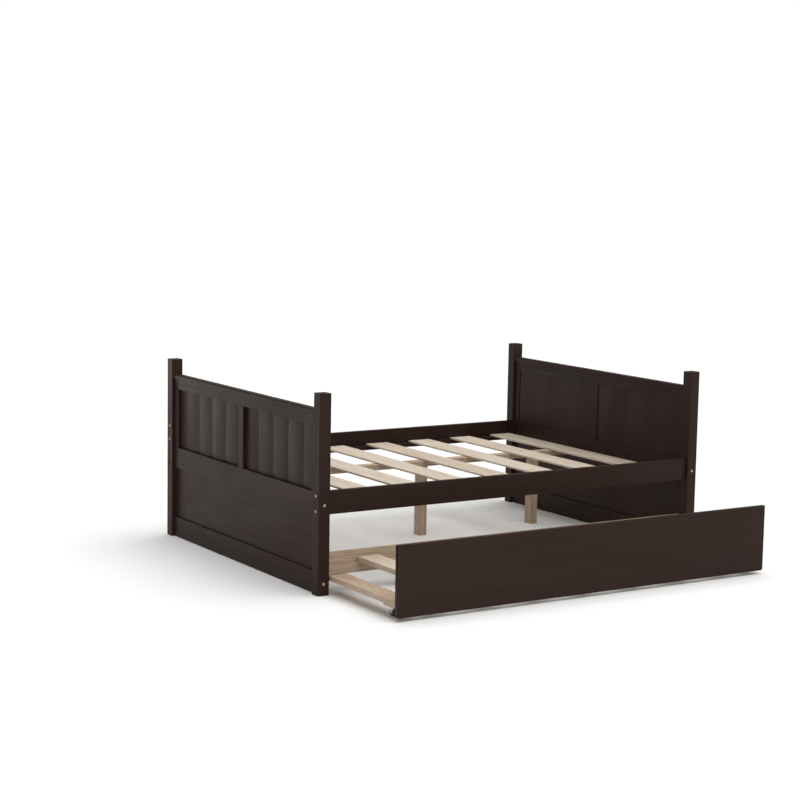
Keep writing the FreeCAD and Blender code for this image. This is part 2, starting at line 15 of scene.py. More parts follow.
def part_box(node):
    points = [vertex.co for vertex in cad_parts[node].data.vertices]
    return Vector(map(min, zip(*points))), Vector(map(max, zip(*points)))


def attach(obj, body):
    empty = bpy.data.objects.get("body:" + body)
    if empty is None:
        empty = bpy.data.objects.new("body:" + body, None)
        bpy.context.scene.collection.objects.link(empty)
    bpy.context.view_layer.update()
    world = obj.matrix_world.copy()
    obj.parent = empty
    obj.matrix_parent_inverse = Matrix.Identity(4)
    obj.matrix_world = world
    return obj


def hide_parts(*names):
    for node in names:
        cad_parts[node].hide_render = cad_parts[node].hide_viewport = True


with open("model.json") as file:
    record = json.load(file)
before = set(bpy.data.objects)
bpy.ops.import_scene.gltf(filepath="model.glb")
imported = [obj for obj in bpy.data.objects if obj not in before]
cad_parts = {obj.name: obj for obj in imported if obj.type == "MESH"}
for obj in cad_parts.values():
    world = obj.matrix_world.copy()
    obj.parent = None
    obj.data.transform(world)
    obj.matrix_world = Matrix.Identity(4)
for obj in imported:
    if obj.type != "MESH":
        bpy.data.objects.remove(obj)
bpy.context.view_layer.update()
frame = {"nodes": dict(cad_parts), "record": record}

nodes = frame["nodes"]
body_of_node = {}
for body, members in frame["record"]["behaviour"]["bodies"].items():
    for member in members:
        body_of_node[member] = body
slot_of_node = {p["node"]: p["material_slot"] for p in frame["record"]["subparts"]}

# %% [markdown]
# ## Helpers for finishes
# Every finish is a small graph of nodes. Colours are written as the hex values that a paint card or a
# screen would show, so one function turns them into the linear values that the shader works in. A
# second one adds a node with its settings and its links, which keeps each finish short to read.

# %% Colour and node helpers
MM = 0.001


def linear(hex_colour):
    """An sRGB hex colour as linear red, green, blue and alpha."""
    channels = [int(hex_colour[i:i + 2], 16) / 255 for i in (1, 3, 5)]
    return [c / 12.92 if c <= 0.04045 else ((c + 0.055) / 1.055) ** 2.4 for c in channels] + [1.0]


def add_node(tree, kind, settings=None, **inputs):
    """Adds a node, sets its properties, and sets or links its inputs. An underscore stands for a
    space in an input's name, and a name such as i0 means the input's number."""
    node = tree.nodes.new(kind)
    for name, value in (settings or {}).items():
        setattr(node, name, value)
    for name, value in inputs.items():
        by_number = name[0] == "i" and name[1:].isdigit()
        socket = node.inputs[int(name[1:])] if by_number else node.inputs[name.replace("_", " ")]
        if isinstance(value, bpy.types.NodeSocket):
            tree.links.new(value, socket)
        else:
            socket.default_value = value
    return node


def set_ramp(node, stops):
    """Gives a Color Ramp its stops: (place, hex colour) each."""
    elements = node.color_ramp.elements
    while len(elements) < len(stops):
        elements.new(0.5)
    for element, (place, colour) in zip(elements, stops):
        element.position = place
        element.color = linear(colour)


def new_material(name):
    """An empty material with its shader. Returns the material, its tree and the shader."""
    material = bpy.data.materials.new(name)
    material.use_nodes = True
    tree = material.node_tree
    return material, tree, tree.nodes["Principled BSDF"]


def along(tree, axis, across_mm, along_mm):
    """Object coordinates scaled so that one unit is across_mm over the grain and along_mm down it."""
    coordinates = add_node(tree, "ShaderNodeTexCoord").outputs["Object"]
    scale = [along_mm if "XYZ"[i] == axis else across_mm for i in range(3)]
    scale = [1 / (s * MM) for s in scale]
    return add_node(tree, "ShaderNodeMapping", Vector=coordinates, Scale=scale).outputs["Vector"]


print("espresso as linear:", [round(c, 3) for c in linear("#332520")[:3]])

# %% [markdown]
# ## Dark lacquered wood
# The visible frame is poplar or pine, stained espresso brown and sprayed with a satin lacquer. The
# lacquer fills the pores, so the grain shows only as faint streaks in tone and as a very low bump. The
# sheen is soft, wide and faint, so the specular level is low, and patches polished by hands vary its
# roughness. The grain follows each board, so there is one finish for each direction.

# %% Espresso lacquer
def espresso_lacquer(axis):
    """Stained and lacquered wood with its grain along an axis."""
    material, tree, shader = new_material(f"espresso_lacquer_grain_{axis.lower()}")
    # growth streaks of 9 mm, drawn out to 400 mm down the board
    streaks = add_node(tree, "ShaderNodeTexNoise", Vector=along(tree, axis, 9, 400), Scale=1.0,
                       Detail=4.0, Roughness=0.6, Distortion=0.4)
    # slow drift in the stain, where the wood took up more or less of it, mixed in a little less
    drift = add_node(tree, "ShaderNodeTexNoise", Vector=along(tree, axis, 120, 700), Scale=1.0, Detail=2.0)
    tone = add_node(tree, "ShaderNodeMath", {"operation": "MULTIPLY"}, i0=drift.outputs["Fac"], i1=0.45)
    mixed = add_node(tree, "ShaderNodeMath", {"operation": "MULTIPLY_ADD"}, i0=streaks.outputs["Fac"],
                     i1=0.55, i2=tone.outputs[0])
    ramp = add_node(tree, "ShaderNodeValToRGB", Fac=mixed.outputs[0])
    set_ramp(ramp, [(0.30, "#2f211c"), (0.52, "#332520"), (0.72, "#382a24")])
    tree.links.new(ramp.outputs["Color"], shader.inputs["Base Color"])
    # brush and grain marks 1.2 mm apart, under the lacquer
    pores = add_node(tree, "ShaderNodeTexNoise", Vector=along(tree, axis, 1.2, 60), Scale=1.0, Detail=3.0)
    # the orange peel that a spray gun leaves, about 3 mm across and half as deep
    peel = add_node(tree, "ShaderNodeTexNoise", Vector=along(tree, axis, 3, 3), Scale=1.0, Detail=1.0)
    height = add_node(tree, "ShaderNodeMath", {"operation": "MULTIPLY_ADD"}, i0=peel.outputs["Fac"],
                      i1=0.5, i2=pores.outputs["Fac"])
    bump = add_node(tree, "ShaderNodeBump", Height=height.outputs[0], Strength=0.08, Distance=0.15 * MM)
    tree.links.new(bump.outputs["Normal"], shader.inputs["Normal"])
    # hands and cloths polish the lacquer in patches of about 80 mm, and it stays duller between them
    patches = add_node(tree, "ShaderNodeTexNoise", Vector=along(tree, axis, 80, 160), Scale=1.0, Detail=3.0,
                       Roughness=0.6)
    worn = add_node(tree, "ShaderNodeMath", {"operation": "MULTIPLY_ADD"}, i0=patches.outputs["Fac"],
                    i1=0.6, i2=mixed.outputs[0])
    rough = add_node(tree, "ShaderNodeMapRange", Value=worn.outputs[0], From_Min=0.6, From_Max=1.0,
                     To_Min=0.52, To_Max=0.38)
    tree.links.new(rough.outputs["Result"], shader.inputs["Roughness"])
    shader.inputs["IOR"].default_value = 1.5
    shader.inputs["Specular IOR Level"].default_value = 0.08
    return material


espresso = {axis: espresso_lacquer(axis) for axis in "XYZ"}
print("made", [m.name for m in espresso.values()])

# %% [markdown]
# ## Bare pine
# The slats, the middle beam, its legs and the trundle's frame are planed and sanded pine with no
# finish. Flat-sawn pine shows wide arches where the rings run out of the face, darker late wood
# between them, and a small knot here and there. Rings about a common centre, pulled out along the
# board and pushed about by slow noise, give those arches. A number stored on each board shifts its
# tone, as boards from different trees differ.

# %% Bare pine
def bare_pine(axis, light, middle, dark):
    """Sanded pine with its grain along an axis, in three tones from early wood to late wood."""
    material, tree, shader = new_material(f"bare_pine_grain_{axis.lower()}_{middle[1:]}")
    # rings of 11 mm: real ones are 3 to 6 mm, too fine to show from across a room
    grain = along(tree, axis, 11, 260)
    # slow noise pushes them about by up to seven ring widths
    wander = add_node(tree, "ShaderNodeTexNoise", Vector=along(tree, axis, 90, 500), Scale=1.0, Detail=2.0)
    pushed = add_node(tree, "ShaderNodeVectorMath", {"operation": "MULTIPLY_ADD"},
                      i0=wander.outputs["Color"], i1=(7.0, 7.0, 7.0), i2=grain)
    rings = add_node(tree, "ShaderNodeTexNoise", Vector=pushed.outputs[0], Scale=1.0, Detail=5.0,
                     Roughness=0.55, Distortion=0.3)
    # fibres of 1.6 mm show a quarter as strongly as the rings
    fibres = add_node(tree, "ShaderNodeTexNoise", Vector=along(tree, axis, 1.6, 90), Scale=1.0, Detail=3.0)
    both = add_node(tree, "ShaderNodeMath", {"operation": "MULTIPLY_ADD"}, i0=fibres.outputs["Fac"],
                    i1=0.25, i2=rings.outputs["Fac"])
    # each board's own number, from 0 to 1, makes it a little darker
    tone = add_node(tree, "ShaderNodeAttribute", {"attribute_name": "board_tone"})
    shifted = add_node(tree, "ShaderNodeMath", {"operation": "MULTIPLY_ADD"}, i0=tone.outputs["Fac"],
                       i1=0.12, i2=both.outputs[0])
    ramp = add_node(tree, "ShaderNodeValToRGB", Fac=shifted.outputs[0])
    set_ramp(ramp, [(0.38, light), (0.62, middle), (0.84, dark)])
    # knots: small dark spots about 14 mm across and 200 mm apart or more
    spots = add_node(tree, "ShaderNodeTexVoronoi", Vector=along(tree, axis, 170, 300), Scale=1.0)
    knot = add_node(tree, "ShaderNodeMapRange", {"interpolation_type": "SMOOTHSTEP"},
                    Value=spots.outputs["Distance"], From_Min=0.03, From_Max=0.075, To_Min=0.55, To_Max=0.0)
    coloured = add_node(tree, "ShaderNodeMix", {"data_type": "RGBA"}, i0=knot.outputs["Result"],
                        i6=ramp.outputs["Color"], i7=linear("#7d5c3c"))
    tree.links.new(coloured.outputs[2], shader.inputs["Base Color"])
    bump = add_node(tree, "ShaderNodeBump", Height=both.outputs[0], Strength=0.25, Distance=0.2 * MM)
    tree.links.new(bump.outputs["Normal"], shader.inputs["Normal"])
    rough = add_node(tree, "ShaderNodeMapRange", Value=both.outputs[0], From_Min=0.3, From_Max=0.8,
                     To_Min=0.72, To_Max=0.58)
    tree.links.new(rough.outputs["Result"], shader.inputs["Roughness"])
    shader.inputs["IOR"].default_value = 1.5
    return material


slat_pine = bare_pine("Y", "#d8ccbd", "#cdbeac", "#bca994")
beam_pine = {axis: bare_pine(axis, "#c4b09a", "#b49e86", "#9b8268") for axis in "XYZ"}
print("made", slat_pine.name, [m.name for m in beam_pine.values()])

# %% [markdown]
# ## Metal, nylon and plug wood
# The caster forks are pressed steel with a dull zinc plate, which is pale grey and slightly clouded.
# The wheels are moulded black nylon with a fine mould texture and a little dust on it. Connector bolts
# are dipped in black oxide. The plugs are cut from pale wood, and they show end grain, so their rings
# are round.

# %% Zinc plate, black oxide and nylon
def plated_steel(name, light, dark, rough_low, rough_high):
    """Steel with a clouded plating between two tones, and a roughness that follows the clouds."""
    material, tree, shader = new_material(name)
    # clouds of 6 mm in the plating
    clouds = add_node(tree, "ShaderNodeTexNoise", Vector=along(tree, "Z", 6, 6), Scale=1.0, Detail=4.0)
    ramp = add_node(tree, "ShaderNodeValToRGB", Fac=clouds.outputs["Fac"])
    set_ramp(ramp, [(0.35, dark), (0.65, light)])
    tree.links.new(ramp.outputs["Color"], shader.inputs["Base Color"])
    rough = add_node(tree, "ShaderNodeMapRange", Value=clouds.outputs["Fac"], From_Min=0.3, From_Max=0.7,
                     To_Min=rough_low, To_Max=rough_high)
    tree.links.new(rough.outputs["Result"], shader.inputs["Roughness"])
    # rolling marks 0.5 mm apart
    marks = add_node(tree, "ShaderNodeTexNoise", Vector=along(tree, "Y", 0.5, 14), Scale=1.0, Detail=2.0)
    bump = add_node(tree, "ShaderNodeBump", Height=marks.outputs["Fac"], Strength=0.1, Distance=0.05 * MM)
    tree.links.new(bump.outputs["Normal"], shader.inputs["Normal"])
    shader.inputs["Metallic"].default_value = 1.0
    return material


zinc_plate = plated_steel("zinc_plated_steel", "#d2d3d2", "#b4b6b8", 0.28, 0.42)
black_oxide = plated_steel("black_oxide_steel", "#2b2b2d", "#1b1b1c", 0.38, 0.5)


def moulded_nylon():
    """Black nylon as it leaves the mould, with a little dust."""
    material, tree, shader = new_material("moulded_black_nylon")
    # dust gathers in patches of 9 mm
    dust = add_node(tree, "ShaderNodeTexNoise", Vector=along(tree, "Z", 9, 9), Scale=1.0, Detail=5.0)
    ramp = add_node(tree, "ShaderNodeValToRGB", Fac=dust.outputs["Fac"])
    set_ramp(ramp, [(0.45, "#141414"), (0.75, "#2c2b29")])
    tree.links.new(ramp.outputs["Color"], shader.inputs["Base Color"])
    # spark-eroded mould texture of 0.4 mm
    texture = add_node(tree, "ShaderNodeTexNoise", Vector=along(tree, "Z", 0.4, 0.4), Scale=1.0, Detail=2.0)
    bump = add_node(tree, "ShaderNodeBump", Height=texture.outputs["Fac"], Strength=0.2, Distance=0.05 * MM)
    tree.links.new(bump.outputs["Normal"], shader.inputs["Normal"])
    rough = add_node(tree, "ShaderNodeMapRange", Value=dust.outputs["Fac"], To_Min=0.4, To_Max=0.6)
    tree.links.new(rough.outputs["Result"], shader.inputs["Roughness"])
    shader.inputs["IOR"].default_value = 1.53
    return material


black_nylon = moulded_nylon()


def plug_end_grain():
    """Pale wood cut across its grain."""
    material, tree, shader = new_material("pale_plug_end_grain")
    # tight rings of 1.4 mm across the plug's face
    rings = add_node(tree, "ShaderNodeTexNoise", Vector=along(tree, "Z", 1.4, 5), Scale=1.0, Detail=3.0)
    ramp = add_node(tree, "ShaderNodeValToRGB", Fac=rings.outputs["Fac"])
    set_ramp(ramp, [(0.35, "#cdb692"), (0.65, "#a98a60")])
    tree.links.new(ramp.outputs["Color"], shader.inputs["Base Color"])
    bump = add_node(tree, "ShaderNodeBump", Height=rings.outputs["Fac"], Strength=0.3, Distance=0.1 * MM)
    tree.links.new(bump.outputs["Normal"], shader.inputs["Normal"])
    shader.inputs["Roughness"].default_value = 0.6
    shader.inputs["IOR"].default_value = 1.5
    return material


plug_wood = plug_end_grain()
print("made", [m.name for m in (zinc_plate, black_oxide, black_nylon, plug_wood)])

# %% [markdown]
# ## Solid pieces as meshes
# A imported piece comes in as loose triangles. That draws a flat piece well, but a rounded edge shows its
# facets. A copy with its doubles merged, smooth shading and sharp creases kept keeps the exact shape
# and gives rounded edges a clean highlight. The same merged copy shows which separate solids a group
# of fasteners holds, so their places can be read off it.

# %% Merged copies
def merged_mesh(node):
    """The node's mesh with its doubles merged, as a new bmesh."""
    shape = bmesh.new()
    shape.from_mesh(nodes[node].data)
    bmesh.ops.remove_doubles(shape, verts=shape.verts, dist=0.002 * MM)
    return shape


def solid_points(node):
    """The corners of each separate solid in a node, one list a solid, in the order of the mesh."""
    shape = merged_mesh(node)
    seen = set()
    solids = []
    for start in shape.verts:
        if start in seen:
            continue
        seen.add(start)
        members = [start]
        to_visit = [start]
        while to_visit:
            for edge in to_visit.pop().link_edges:
                for vertex in edge.verts:
                    if vertex not in seen:
                        seen.add(vertex)
                        members.append(vertex)
                        to_visit.append(vertex)
        solids.append([v.co.copy() for v in members])
    shape.free()
    return solids


def corners(points):
    """The lowest and highest corner of some points."""
    return (Vector([min(p[i] for p in points) for i in range(3)]),
            Vector([max(p[i] for p in points) for i in range(3)]))


def solid_boxes(node):
    """The corners of each separate solid in a node, from left to right."""
    return sorted((corners(points) for points in solid_points(node)), key=lambda box: box[0].x)


print("plugs:", len(solid_boxes("wood_plugs")), "screws:", len(solid_boxes("bed_screws")))

# %% [markdown]
# ## From a mesh to a finished piece
# Modifiers are run on a carrier object, and only their result is kept, as a plain mesh. Smooth shading
# alone would bend the light over a wide flat face, because its corners share their normals with the
# small round beside it. Weighted normals let the large face win, so flats stay flat and rounds stay
# round. A finished mesh then goes into the scene on its body.

# %% Finished pieces
CREASE = 35      # degrees: a sharper corner than this keeps its edge


def add_piece(name, mesh, body, slot, *replaced):
    """Puts a finished mesh in the scene, on its body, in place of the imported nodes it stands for."""
    piece = bpy.data.objects.new(name, mesh)
    bpy.context.scene.collection.objects.link(piece)
    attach(piece, body)
    if replaced:
        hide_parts(*replaced)
    return piece


def plain_mesh(name, start, modifiers):
    """Runs modifiers, (kind, settings) each, on a start mesh and returns a plain mesh of the result.
    A setting written as [socket] is an input of a Geometry Nodes tree."""
    carrier = bpy.data.objects.new(name, start)
    bpy.context.scene.collection.objects.link(carrier)
    for kind, settings in modifiers:
        modifier = carrier.modifiers.new(name, kind)
        for key, value in settings.items():
            if key.startswith("["):
                modifier[key[1:-1]] = value
            else:
                setattr(modifier, key, value)
    graph = bpy.context.evaluated_depsgraph_get()
    mesh = bpy.data.meshes.new_from_object(carrier.evaluated_get(graph), depsgraph=graph)
    carrier.modifiers.clear()
    bpy.data.objects.remove(carrier)
    mesh.name = name
    return mesh


def even_shading(mesh, crease):
    """Smooth rounds with flat faces kept flat: a large face outweighs the small ones beside it."""
    mesh.shade_smooth()
    mesh.set_sharp_from_angle(angle=math.radians(crease))
    return plain_mesh(mesh.name, mesh, [("WEIGHTED_NORMAL", {"keep_sharp": True, "weight": 100})])


def smooth_piece(node, material):
    """A merged copy of a node with smooth rounds, in place of it."""
    shape = merged_mesh(node)
    mesh = bpy.data.meshes.new(node + "_finished")
    shape.to_mesh(mesh)
    shape.free()
    mesh.materials.append(material)
    mesh = even_shading(mesh, CREASE)
    return add_piece(node + "_finished", mesh, body_of_node[node], slot_of_node[node], node)


print("corners under", CREASE, "degrees are drawn smooth")

# %% [markdown]
# ## Geometry Nodes helpers
# What repeats is made by small trees of Geometry Nodes with named sizes. The evaluated result is then
# turned into a plain mesh, one for each body, because the export keeps no live instances.

# %% Running a tree
def new_tree(name, sizes):
    """A geometry tree with named number inputs. Returns the tree, its group input and output."""
    tree = bpy.data.node_groups.new(name, "GeometryNodeTree")
    tree.interface.new_socket("Geometry", in_out="INPUT", socket_type="NodeSocketGeometry")
    for label in sizes:
        kind = "NodeSocketInt" if label.endswith("Count") else "NodeSocketFloat"
        tree.interface.new_socket(label, in_out="INPUT", socket_type=kind)
    tree.interface.new_socket("Geometry", in_out="OUTPUT", socket_type="NodeSocketGeometry")
    return tree, tree.nodes.new("NodeGroupInput"), tree.nodes.new("NodeGroupOutput")


def finish_tree(tree, group_out, geometry, material):
    """Ends a tree with Realize Instances and Set Material."""
    real = add_node(tree, "GeometryNodeRealizeInstances", i0=geometry)
    painted = add_node(tree, "GeometryNodeSetMaterial", Geometry=real.outputs[0], Material=material)
    tree.links.new(painted.outputs[0], group_out.inputs[0])


def run_tree(tree, name, sizes, start=None, crease=CREASE):
    """Runs a tree on a start mesh and returns the result as a plain mesh."""
    settings = {"node_group": tree}
    for item in tree.interface.items_tree:
        if item.in_out == "INPUT" and item.name in sizes:
            settings[f"[{item.identifier}]"] = sizes[item.name]
    mesh = plain_mesh(name, start or bpy.data.meshes.new(name), [("NODES", settings)])
    return even_shading(mesh, crease)


print("helpers ready for trees of named sizes")

# %% [markdown]
# ## Slats
# Each slat is a planed board with its long edges eased. A rounded rectangle swept along a line is that
# board, so the tree draws the section once, sweeps it, and stands the boards at an even pitch. A random
# number on each board, from a fixed seed, gives the pine its change of tone.

# %% The slat tree
ROUNDING_POINTS = 3     # on each eased edge
TONE_SEED = 7
slat_tree, slat_in, slat_out = new_tree(
    "row_of_slats", ["Slat Count", "First X", "Pitch", "Width", "Thickness", "Edge Radius",
                     "Front Y", "Rear Y", "Middle Z"])
section = add_node(slat_tree, "GeometryNodeCurvePrimitiveQuadrilateral", {"mode": "RECTANGLE"})
slat_tree.links.new(slat_in.outputs["Width"], section.inputs["Width"])
slat_tree.links.new(slat_in.outputs["Thickness"], section.inputs["Height"])
rounded = add_node(slat_tree, "GeometryNodeFilletCurve", {"mode": "POLY"}, Curve=section.outputs[0],
                   Count=ROUNDING_POINTS, Radius=slat_in.outputs["Edge Radius"])
front, rear = (add_node(slat_tree, "ShaderNodeCombineXYZ", Y=slat_in.outputs[end_y],
                        Z=slat_in.outputs["Middle Z"]) for end_y in ("Front Y", "Rear Y"))
line = add_node(slat_tree, "GeometryNodeCurvePrimitiveLine", Start=front.outputs[0], End=rear.outputs[0])
swept = add_node(slat_tree, "GeometryNodeCurveToMesh", Curve=line.outputs[0],
                 Profile_Curve=rounded.outputs[0], Fill_Caps=True)
first = add_node(slat_tree, "ShaderNodeCombineXYZ", X=slat_in.outputs["First X"])
step = add_node(slat_tree, "ShaderNodeCombineXYZ", X=slat_in.outputs["Pitch"])
places = add_node(slat_tree, "GeometryNodeMeshLine", Count=slat_in.outputs["Slat Count"],
                  Start_Location=first.outputs[0], Offset=step.outputs[0])
row = add_node(slat_tree, "GeometryNodeInstanceOnPoints", Points=places.outputs[0],
               Instance=swept.outputs[0])
tone = add_node(slat_tree, "FunctionNodeRandomValue", {"data_type": "FLOAT"}, Seed=TONE_SEED)
toned = add_node(slat_tree, "GeometryNodeStoreNamedAttribute",
                 {"data_type": "FLOAT", "domain": "INSTANCE"}, Geometry=row.outputs[0],
                 Name="board_tone", Value=tone.outputs[1])
finish_tree(slat_tree, slat_out, toned.outputs[0], slat_pine)
print("slat tree nodes:", len(slat_tree.nodes))

# %% Two rows of slats
EASED_EDGE = 1.5 * MM


def slat_sizes(boxes):
    """The tree's inputs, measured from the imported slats."""
    low, high = boxes[0]
    return {"Slat Count": len(boxes), "First X": (low.x + high.x) / 2,
            "Pitch": boxes[1][0].x - low.x, "Width": high.x - low.x, "Thickness": high.z - low.z,
            "Edge Radius": EASED_EDGE, "Front Y": low.y, "Rear Y": high.y,
            "Middle Z": (low.z + high.z) / 2}


bed_slats = [f"slat_{i}" for i in range(1, 9)]
mesh = run_tree(slat_tree, "bed_slats", slat_sizes([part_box(n) for n in bed_slats]))
add_piece("bed_slats", mesh, "bed_frame", "natural_pine", *bed_slats)
print("bed slats:", len(mesh.polygons), "faces")
mesh = run_tree(slat_tree, "trundle_slat_row", slat_sizes(solid_boxes("trundle_slats")))
mesh.materials[0] = beam_pine["Y"]     # the trundle's pine is the darker one
add_piece("trundle_slat_row", mesh, "trundle", "natural_pine", "trundle_slats")
print("trundle slats:", len(mesh.polygons), "faces")

# %% [markdown]
# ## Crowned panels
# The outer face of each upper panel is worked to look like upright boards side by side: every board is
# gently crowned, and the boards meet in a narrow groove. It follows a rule, so a tree makes it: a thin
# block with many columns, whose outer side is pushed back by a parabola that starts again at every
# groove. The columns fall on the grooves, which keeps them crisp, and they are clamped to the panel's
# ends.

# %% The panel tree
COLUMNS_A_BOARD = 16
panel_tree, panel_in, panel_out = new_tree(
    "crowned_panel", ["Column Count", "Start Y", "End Y", "Low Y", "High Y", "Pitch", "Inward Crown",
                      "Outward X", "Face X", "Back X", "Low Z", "High Z"])
block = add_node(panel_tree, "GeometryNodeMeshCube", Size=(1.0, 1.0, 1.0), Vertices_X=2, Vertices_Z=2)
panel_tree.links.new(panel_in.outputs["Column Count"], block.inputs["Vertices Y"])
place = add_node(panel_tree, "GeometryNodeInputPosition")
axes = add_node(panel_tree, "ShaderNodeSeparateXYZ", Vector=place.outputs[0])
wide = add_node(panel_tree, "ShaderNodeMapRange", Value=axes.outputs["Y"], From_Min=-0.5, From_Max=0.5,
                To_Min=panel_in.outputs["Start Y"], To_Max=panel_in.outputs["End Y"])
held = add_node(panel_tree, "ShaderNodeClamp", Value=wide.outputs[0], Min=panel_in.outputs["Low Y"],
                Max=panel_in.outputs["High Y"])
from_start = add_node(panel_tree, "ShaderNodeMath", {"operation": "SUBTRACT"}, i0=held.outputs[0],
                      i1=panel_in.outputs["Start Y"])
boards = add_node(panel_tree, "ShaderNodeMath", {"operation": "DIVIDE"}, i0=from_start.outputs[0],
                  i1=panel_in.outputs["Pitch"])
saw = add_node(panel_tree, "ShaderNodeMath", {"operation": "FRACT"}, i0=boards.outputs[0])
centred = add_node(panel_tree, "ShaderNodeMath", {"operation": "MULTIPLY_ADD"}, i0=saw.outputs[0],
                   i1=2.0, i2=-1.0)
bowl = add_node(panel_tree, "ShaderNodeMath", {"operation": "MULTIPLY"}, i0=centred.outputs[0],
                i1=centred.outputs[0])
drop = add_node(panel_tree, "ShaderNodeMath", {"operation": "MULTIPLY"}, i0=bowl.outputs[0],
                i1=panel_in.outputs["Inward Crown"])
crowned = add_node(panel_tree, "ShaderNodeMath", {"operation": "ADD"}, i0=panel_in.outputs["Face X"],
                   i1=drop.outputs[0])
outward = add_node(panel_tree, "ShaderNodeMath", {"operation": "MULTIPLY"}, i0=axes.outputs["X"],
                   i1=panel_in.outputs["Outward X"])
outside = add_node(panel_tree, "ShaderNodeMath", {"operation": "GREATER_THAN"}, i0=outward.outputs[0],
                   i1=0.0)
face_or_back = add_node(panel_tree, "ShaderNodeMix", {"data_type": "FLOAT"}, i0=outside.outputs[0],
                        i2=panel_in.outputs["Back X"], i3=crowned.outputs[0])
tall = add_node(panel_tree, "ShaderNodeMapRange", Value=axes.outputs["Z"], From_Min=-0.5, From_Max=0.5,
                To_Min=panel_in.outputs["Low Z"], To_Max=panel_in.outputs["High Z"])
moved = add_node(panel_tree, "ShaderNodeCombineXYZ", X=face_or_back.outputs[0], Y=held.outputs[0],
                 Z=tall.outputs[0])
shaped = add_node(panel_tree, "GeometryNodeSetPosition", Geometry=block.outputs[0],
                  Position=moved.outputs[0])
welded = add_node(panel_tree, "GeometryNodeMergeByDistance", Geometry=shaped.outputs[0],
                  Distance=0.01 * MM)
finish_tree(panel_tree, panel_out, welded.outputs[0], espresso["Z"])
print("panel tree nodes:", len(panel_tree.nodes))

# %% Four crowned panels
board_pitch, board_crown = 134 * MM, 3.5 * MM
panel_grip = 8 * MM                                   # how far the frame's groove holds the panel
first_groove = {"rear": 55 * MM, "front": 115 * MM}   # from the rear edge of the panel's opening
GROOVE_CREASE = 8     # degrees: below the 12 of a groove, above the 1 between two columns
for end, outward_x in (("left", -1.0), ("right", 1.0)):
    for spot in ("front", "rear"):
        node = f"{end}_{spot}_upper_panel"
        low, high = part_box(node)
        end_y = high.y - panel_grip - first_groove[spot]
        while end_y < high.y:
            end_y += board_pitch
        count = math.ceil((end_y - low.y) / board_pitch)
        mesh = run_tree(panel_tree, node + "_crowned", {
            "Column Count": count * COLUMNS_A_BOARD + 1, "Start Y": end_y - count * board_pitch,
            "End Y": end_y, "Low Y": low.y, "High Y": high.y, "Pitch": board_pitch,
            "Inward Crown": -outward_x * board_crown, "Outward X": outward_x,
            "Face X": high.x if outward_x > 0 else low.x, "Back X": low.x if outward_x > 0 else high.x,
            "Low Z": low.z, "High Z": high.z}, crease=GROOVE_CREASE)
        add_piece(mesh.name, mesh, "bed_frame", "espresso_painted_wood", node)
        print(node, "boards:", count, "faces:", len(mesh.polygons))

# %% [markdown]
# ## Plugs and screws
# A wooden plug closes the mouth of each bolt hole, and stands a hair proud of the lacquer. The wood
# screws have flat heads with a cross recess. Both repeat many times, so one of each is made in a tree
# and set on points. Every point carries the way that its fastener faces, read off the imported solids.

# %% Where the fasteners are
# the plugs face away from the middle of the bed itself, not of the bed with its trundle out
bed_low, bed_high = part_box("front_left_post")[0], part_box("rear_right_post")[1]
bed_middle = (bed_low + bed_high) / 2
TIP_DEPTH = 0.1 * MM     # corners this close to a screw's end belong to it


def fastener_points(name, node):
    """A mesh with one vertex at each fastener's outer face and the way it faces as an attribute."""
    spots = []
    for points in solid_points(node):
        low, high = corners(points)
        size = high - low
        centre = (low + high) / 2
        is_plug = node == "wood_plugs"
        axis = min(range(3), key=lambda i: size[i]) if is_plug else max(range(3), key=lambda i: size[i])
        way = Vector([1.0 if i == axis else 0.0 for i in range(3)])
        if is_plug:
            outward = way if centre[axis] > bed_middle[axis] else -way
        else:
            tip_radius = []     # the head is the wider end
            for tip in (low[axis], high[axis]):
                tip_points = [p - centre for p in points if abs(p[axis] - tip) < TIP_DEPTH]
                tip_radius.append(max((p - way * p[axis]).length for p in tip_points))
            outward = way if tip_radius[1] > tip_radius[0] else -way
        spots.append((centre + outward * size[axis] / 2, outward))
    mesh = bpy.data.meshes.new(name)
    mesh.from_pydata([spot for spot, outward in spots], [], [])
    ways = mesh.attributes.new("outward", "FLOAT_VECTOR", "POINT")
    ways.data.foreach_set("vector", [c for spot, outward in spots for c in outward])
    return mesh


def set_on_points(tree, group_in, instance):
    """Sets an instance that faces +Z on each point, turned to face the point's outward way."""
    way = add_node(tree, "GeometryNodeInputNamedAttribute", {"data_type": "FLOAT_VECTOR"}, Name="outward")
    turn = add_node(tree, "FunctionNodeAlignRotationToVector", {"axis": "Z"}, Vector=way.outputs[0])
    return add_node(tree, "GeometryNodeInstanceOnPoints", Points=group_in.outputs[0], Instance=instance,
                    Rotation=turn.outputs[0]).outputs[0]


print("middle of the bed:", [round(c, 3) for c in bed_middle])

# %% Wooden plugs
PLUG_SIDES = 28
plug_tree, plug_in, plug_out = new_tree("wooden_plugs", ["Radius", "Length", "Edge"])
body_length = add_node(plug_tree, "ShaderNodeMath", {"operation": "SUBTRACT"}, i0=plug_in.outputs["Length"],
                       i1=plug_in.outputs["Edge"])
shank = add_node(plug_tree, "GeometryNodeMeshCylinder", {"fill_type": "NGON"}, Vertices=PLUG_SIDES,
                 Radius=plug_in.outputs["Radius"], Depth=body_length.outputs[0])
half = add_node(plug_tree, "ShaderNodeMath", {"operation": "MULTIPLY"}, i0=body_length.outputs[0],
                i1=-0.5)
down = add_node(plug_tree, "ShaderNodeMath", {"operation": "SUBTRACT"}, i0=half.outputs[0],
                i1=plug_in.outputs["Edge"])
shank_place = add_node(plug_tree, "ShaderNodeCombineXYZ", Z=down.outputs[0])
shank_low = add_node(plug_tree, "GeometryNodeTransform", Geometry=shank.outputs[0],
                     Translation=shank_place.outputs[0])
